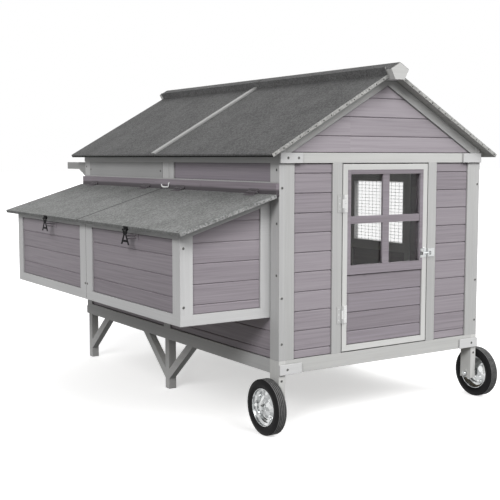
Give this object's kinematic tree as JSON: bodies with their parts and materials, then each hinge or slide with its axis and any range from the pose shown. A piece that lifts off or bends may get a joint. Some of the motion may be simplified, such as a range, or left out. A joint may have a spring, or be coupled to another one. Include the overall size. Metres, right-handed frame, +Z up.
{
  "type": "chicken tractor",
  "caption": "Raised timber mobile chicken coop on two front wheels and square legs, with a felted gable roof, a windowed door and a side nest box under hinged lids.",
  "frame": {"origin": "bottom centre of the whole coop, on the ground", "axes": "+X to the right as seen from the door, +Y from the door to the handles, +Z up"},
  "size_m": [1.4766, 1.986, 1.3508],
  "materials": {
    "light_grey_paint": "satin paint on planed softwood",
    "purple_grey_paint": "satin paint on planed softwood",
    "white_paint": "satin paint on planed softwood",
    "bare_wood": "planed softwood and plywood",
    "felt_edged_board": "board with its edges wrapped in felt",
    "mineral_felt": "mineral granules",
    "zinc_plated_steel": "zinc plated",
    "black_steel": "satin black coating",
    "tyre_rubber": "moulded rubber",
    "clear_sheet": "clear acrylic sheet"
  },
  "bodies": {
    "house": {"front_rails": "light_grey_paint", "front_posts": "light_grey_paint", "front_boards": "purple_grey_paint", "back_rails": "light_grey_paint", "back_posts": "light_grey_paint", "back_boards": "purple_grey_paint", "gable_boards": "purple_grey_paint", "rake_boards": "light_grey_paint", "corner_blocks": "light_grey_paint", "left_frame": "light_grey_paint", "left_boards": "purple_grey_paint", "left_upper_panel": "purple_grey_paint", "left_vent_cover": "light_grey_paint", "lid_hinge_rail": "purple_grey_paint", "right_frame": "light_grey_paint", "right_boards": "purple_grey_paint", "right_window_frames": "light_grey_paint", "right_window_mesh": "zinc_plated_steel", "floor_joists": "bare_wood", "floor_panel": "bare_wood", "roosts": "bare_wood", "mid_rafters": "bare_wood", "roof_decks": "felt_edged_board", "roof_felts": "mineral_felt", "roof_battens": "light_grey_paint", "ridge_beam": "light_grey_paint", "nest_floor": "bare_wood", "nest_frames": "light_grey_paint", "nest_boards": "purple_grey_paint", "nest_dividers": "bare_wood", "door_hinge_plates": "zinc_plated_steel", "lid_hinge_plates": "black_steel", "hinge_pins": "zinc_plated_steel", "ground_legs": "light_grey_paint", "leg_braces": "light_grey_paint", "wheel_legs": "light_grey_paint", "axle_bolts": "zinc_plated_steel", "handles": "light_grey_paint", "bolt_keeper": "zinc_plated_steel", "hasp_staples": "black_steel"},
    "door": {"door_frame": "white_paint", "door_sash": "purple_grey_paint", "door_boards": "purple_grey_paint", "door_window_bars": "purple_grey_paint", "door_pane": "clear_sheet", "door_hinge_leaves": "zinc_plated_steel", "door_bolt_guide": "zinc_plated_steel"},
    "door_bolt": {"door_bolt": "zinc_plated_steel"},
    "front_lid": {"front_lid_deck": "felt_edged_board", "front_lid_felt": "mineral_felt", "front_lid_hardware": "black_steel"},
    "rear_lid": {"rear_lid_deck": "felt_edged_board", "rear_lid_felt": "mineral_felt", "rear_lid_hardware": "black_steel"},
    "front_hasp": {"front_hasp": "black_steel"},
    "rear_hasp": {"rear_hasp": "black_steel"},
    "left_wheel": {"left_tyre": "tyre_rubber", "left_rim": "zinc_plated_steel"},
    "right_wheel": {"right_tyre": "tyre_rubber", "right_rim": "zinc_plated_steel"}
  },
  "joints": [
    {"name": "door_hinge", "type": "hinge", "parent": "house", "child": "door", "pos_m": [-0.03853, -0.9213, 0.62], "axis": [0, 0, -1], "range_deg": [0, 120]},
    {"name": "bolt_slide", "type": "slide", "parent": "door", "child": "door_bolt", "axis": [1, 0, 0], "range_m": [0, 0.014]},
    {"name": "front_lid_hinge", "type": "hinge", "parent": "house", "child": "front_lid", "pos_m": [-0.34478, -0.501, 0.87211], "axis": [0, 1, 0], "range_deg": [0, 75]},
    {"name": "rear_lid_hinge", "type": "hinge", "parent": "house", "child": "rear_lid", "pos_m": [-0.34478, 0.351, 0.87211], "axis": [0, 1, 0], "range_deg": [0, 75]},
    {"name": "front_hasp_swing", "type": "hinge", "parent": "front_lid", "child": "front_hasp", "pos_m": [-0.73427, -0.519, 0.73494], "axis": [0, 1, 0], "range_deg": [-15, 110]},
    {"name": "rear_hasp_swing", "type": "hinge", "parent": "rear_lid", "child": "rear_hasp", "pos_m": [-0.73427, 0.271, 0.73494], "axis": [0, 1, 0], "range_deg": [-15, 110]},
    {"name": "left_wheel_spin", "type": "hinge", "parent": "house", "child": "left_wheel", "pos_m": [-0.35903, -0.891, 0.102], "axis": [1, 0, 0], "continuous": true},
    {"name": "right_wheel_spin", "type": "hinge", "parent": "house", "child": "right_wheel", "pos_m": [0.70997, -0.891, 0.102], "axis": [1, 0, 0], "continuous": true}
  ]
}
